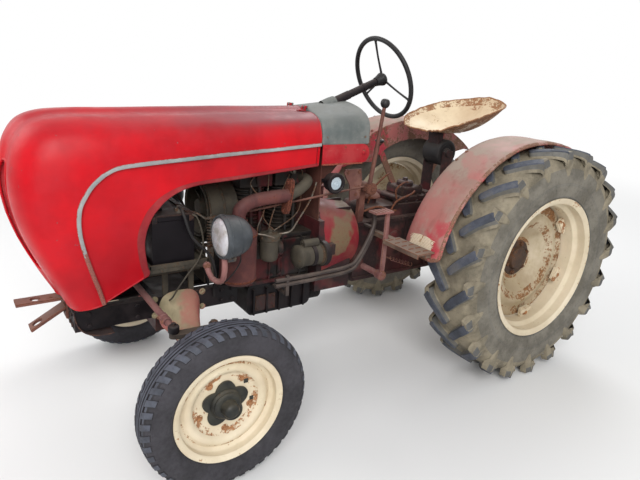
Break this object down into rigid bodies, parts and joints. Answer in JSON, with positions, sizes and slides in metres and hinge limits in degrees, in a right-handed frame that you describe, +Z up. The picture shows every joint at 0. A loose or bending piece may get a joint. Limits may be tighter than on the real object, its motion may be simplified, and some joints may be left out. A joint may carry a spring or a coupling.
{
  "type": "vintage tractor",
  "caption": "Old farm tractor with a rounded red hood, open air-cooled engine, lugged rear tyres, sprung pan seat and linked steering.",
  "frame": {"origin": "on the ground, under the middle of the whole length, on the centre plane", "axes": "+X forward (nose), +Y to the driver's left, +Z up"},
  "size_m": [3.028, 1.484, 1.7221],
  "materials": {
    "red_paint": "worn satin",
    "grey_paint": "weathered",
    "cream_paint": "rusty",
    "olive_paint": "dirty",
    "black_paint": "dirty",
    "dark_iron": "oily and dusty",
    "rusty_steel": "rusty",
    "bare_steel": "worn",
    "battery_case": "dusty",
    "wheel_plastic": "worn",
    "black_rubber": "dusty",
    "tyre": "dusty"
  },
  "bodies": {
    "chassis": {"engine_block": "dark_iron", "cylinders": "dark_iron", "blower_cowl": "olive_paint", "oil_sump": "black_paint", "clutch_housing": "red_paint", "gearbox": "dark_iron", "rear_axle": "dark_iron", "front_frame": "black_paint", "tow_clevis": "rusty_steel", "front_axle": "red_paint", "fuel_tank": "grey_paint", "cowl_panels": "red_paint", "steering_column": "black_paint", "steering_box": "dark_iron", "control_levers": "rusty_steel", "side_gauge": "grey_paint", "exhaust_elbow": "rusty_steel", "muffler": "rusty_steel", "headlamps": "grey_paint", "lamp_brackets": "red_paint", "battery": "battery_case", "battery_tray": "olive_paint", "battery_cables": "black_rubber", "starter": "olive_paint", "fuel_filter": "olive_paint", "side_tubes": "black_rubber", "pedals": "rusty_steel", "step_plates": "rusty_steel", "fenders": "red_paint", "seat_pan": "cream_paint", "seat_bracket": "red_paint", "drawbar": "rusty_steel", "pto_shaft": "bare_steel", "tank_supports": "black_paint"},
    "hood": {"hood_shell": "red_paint", "hood_trim": "grey_paint", "hood_hinge": "red_paint", "front_grille": "red_paint"},
    "steering_wheel": {"steering_wheel": "wheel_plastic"},
    "drop_arm": {"drop_arm": "dark_iron"},
    "drag_link": {"drag_link": "dark_iron"},
    "knuckle_left": {"knuckle_left": "dark_iron"},
    "knuckle_right": {"knuckle_right": "dark_iron"},
    "tie_rod": {"tie_rod": "rusty_steel"},
    "front_wheel_left": {"front_tyre_left": "tyre", "front_rim_left": "cream_paint", "front_hub_left": "dark_iron"},
    "rear_wheel_left": {"rear_tyre_left": "tyre", "rear_rim_left": "cream_paint", "rear_disc_left": "cream_paint"},
    "front_wheel_right": {"front_tyre_right": "tyre", "front_rim_right": "cream_paint", "front_hub_right": "dark_iron"},
    "rear_wheel_right": {"rear_tyre_right": "tyre", "rear_rim_right": "cream_paint", "rear_disc_right": "cream_paint"}
  },
  "joints": [
    {"name": "hood_hinge", "type": "hinge", "parent": "chassis", "child": "hood", "pos_m": [0.258, 0, 1.38], "axis": [0, -1, 0], "range_deg": [0, 60]},
    {"name": "steer_left", "type": "hinge", "parent": "chassis", "child": "knuckle_left", "pos_m": [0.894, 0.51, 0.4], "axis": [0, 0, 1], "range_deg": [-35, 35]},
    {"name": "steer_right", "type": "hinge", "parent": "chassis", "child": "knuckle_right", "pos_m": [0.894, -0.51, 0.4], "axis": [0, 0, 1], "range_deg": [-35, 35]},
    {"name": "tie_rod_ball", "type": "hinge", "parent": "knuckle_left", "child": "tie_rod", "pos_m": [1.044, 0.49, 0.6], "axis": [0, 0, 1], "range_deg": [-35, 35]},
    {"name": "drag_link_ball", "type": "hinge", "parent": "knuckle_right", "child": "drag_link", "pos_m": [0.894, -0.39, 0.6], "axis": [0, 0, 1], "range_deg": [-35, 35]},
    {"name": "drop_arm_shaft", "type": "hinge", "parent": "chassis", "child": "drop_arm", "pos_m": [0.114, -0.262, 0.7673], "axis": [0, 1, 0], "range_deg": [-28, 28]},
    {"name": "steering_wheel_turn", "type": "hinge", "parent": "chassis", "child": "steering_wheel", "pos_m": [-0.256, 0, 1.521], "axis": [-0.9272, 0, 0.3746], "range_deg": [-420, 420]},
    {"name": "front_wheel_left_spin", "type": "hinge", "parent": "knuckle_left", "child": "front_wheel_left", "pos_m": [0.894, 0.62, 0.331], "axis": [0, 1, 0], "continuous": true},
    {"name": "rear_wheel_left_spin", "type": "hinge", "parent": "chassis", "child": "rear_wheel_left", "pos_m": [-0.886, 0.6, 0.628], "axis": [0, 1, 0], "continuous": true},
    {"name": "front_wheel_right_spin", "type": "hinge", "parent": "knuckle_right", "child": "front_wheel_right", "pos_m": [0.894, -0.62, 0.331], "axis": [0, 1, 0], "continuous": true},
    {"name": "rear_wheel_right_spin", "type": "hinge", "parent": "chassis", "child": "rear_wheel_right", "pos_m": [-0.886, -0.6, 0.628], "axis": [0, 1, 0], "continuous": true}
  ],
  "couplings": [
    {"joint": "steer_right", "follows": "steer_left", "ratio": 1},
    {"joint": "tie_rod_ball", "follows": "steer_left", "ratio": -1},
    {"joint": "drag_link_ball", "follows": "steer_left", "ratio": -1},
    {"joint": "drop_arm_shaft", "follows": "steer_left", "ratio": 0.8},
    {"joint": "steering_wheel_turn", "follows": "steer_left", "ratio": 12}
  ]
}
